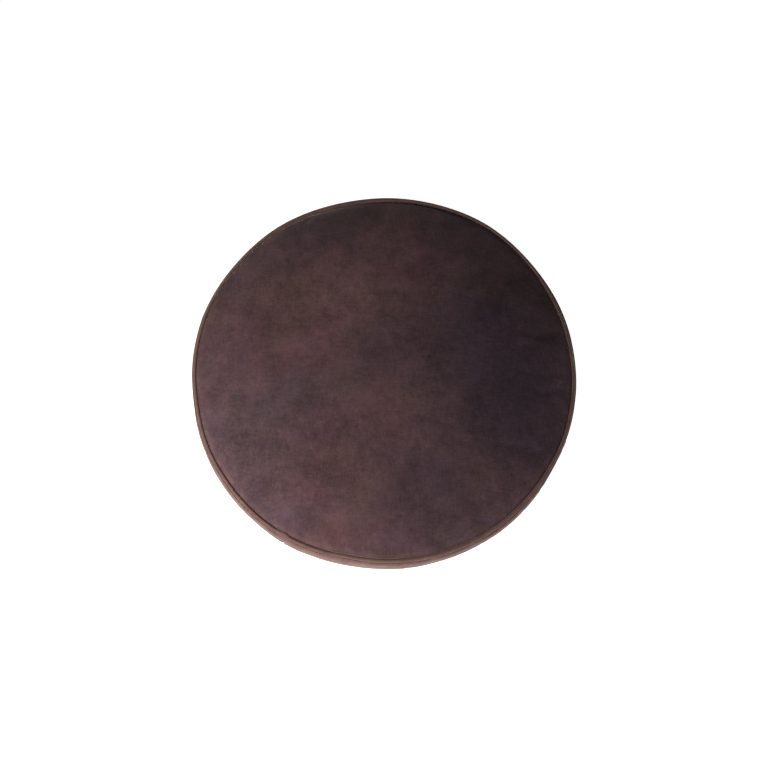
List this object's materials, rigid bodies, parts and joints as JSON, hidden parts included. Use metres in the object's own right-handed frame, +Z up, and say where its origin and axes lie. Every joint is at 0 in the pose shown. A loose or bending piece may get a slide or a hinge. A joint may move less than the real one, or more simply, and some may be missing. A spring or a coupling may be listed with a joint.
{
  "type": "round pouf",
  "caption": "Low round velvet pouf with a softly crowned top, a piped top seam and a gently bulging side, standing on a flat base.",
  "frame": {"origin": "middle of the flat base where it rests on the floor, centred under the pouf's outline", "axes": "+Z up through the middle of the top; the pouf is round, so +X and +Y are free, with the piping's join towards -X -Y"},
  "size_m": [0.519, 0.5166, 0.3497],
  "materials": {
    "velvet": "short-pile velvet, dark plum brown, soft sheen",
    "piping_velvet": "the same velvet cut on the bias over a cord",
    "base_cloth": "plain close-woven black-brown base cloth"
  },
  "bodies": {
    "root": {"top_panel": "velvet", "piping": "piping_velvet", "side_panel": "velvet", "base_panel": "base_cloth"}
  },
  "joints": []
}
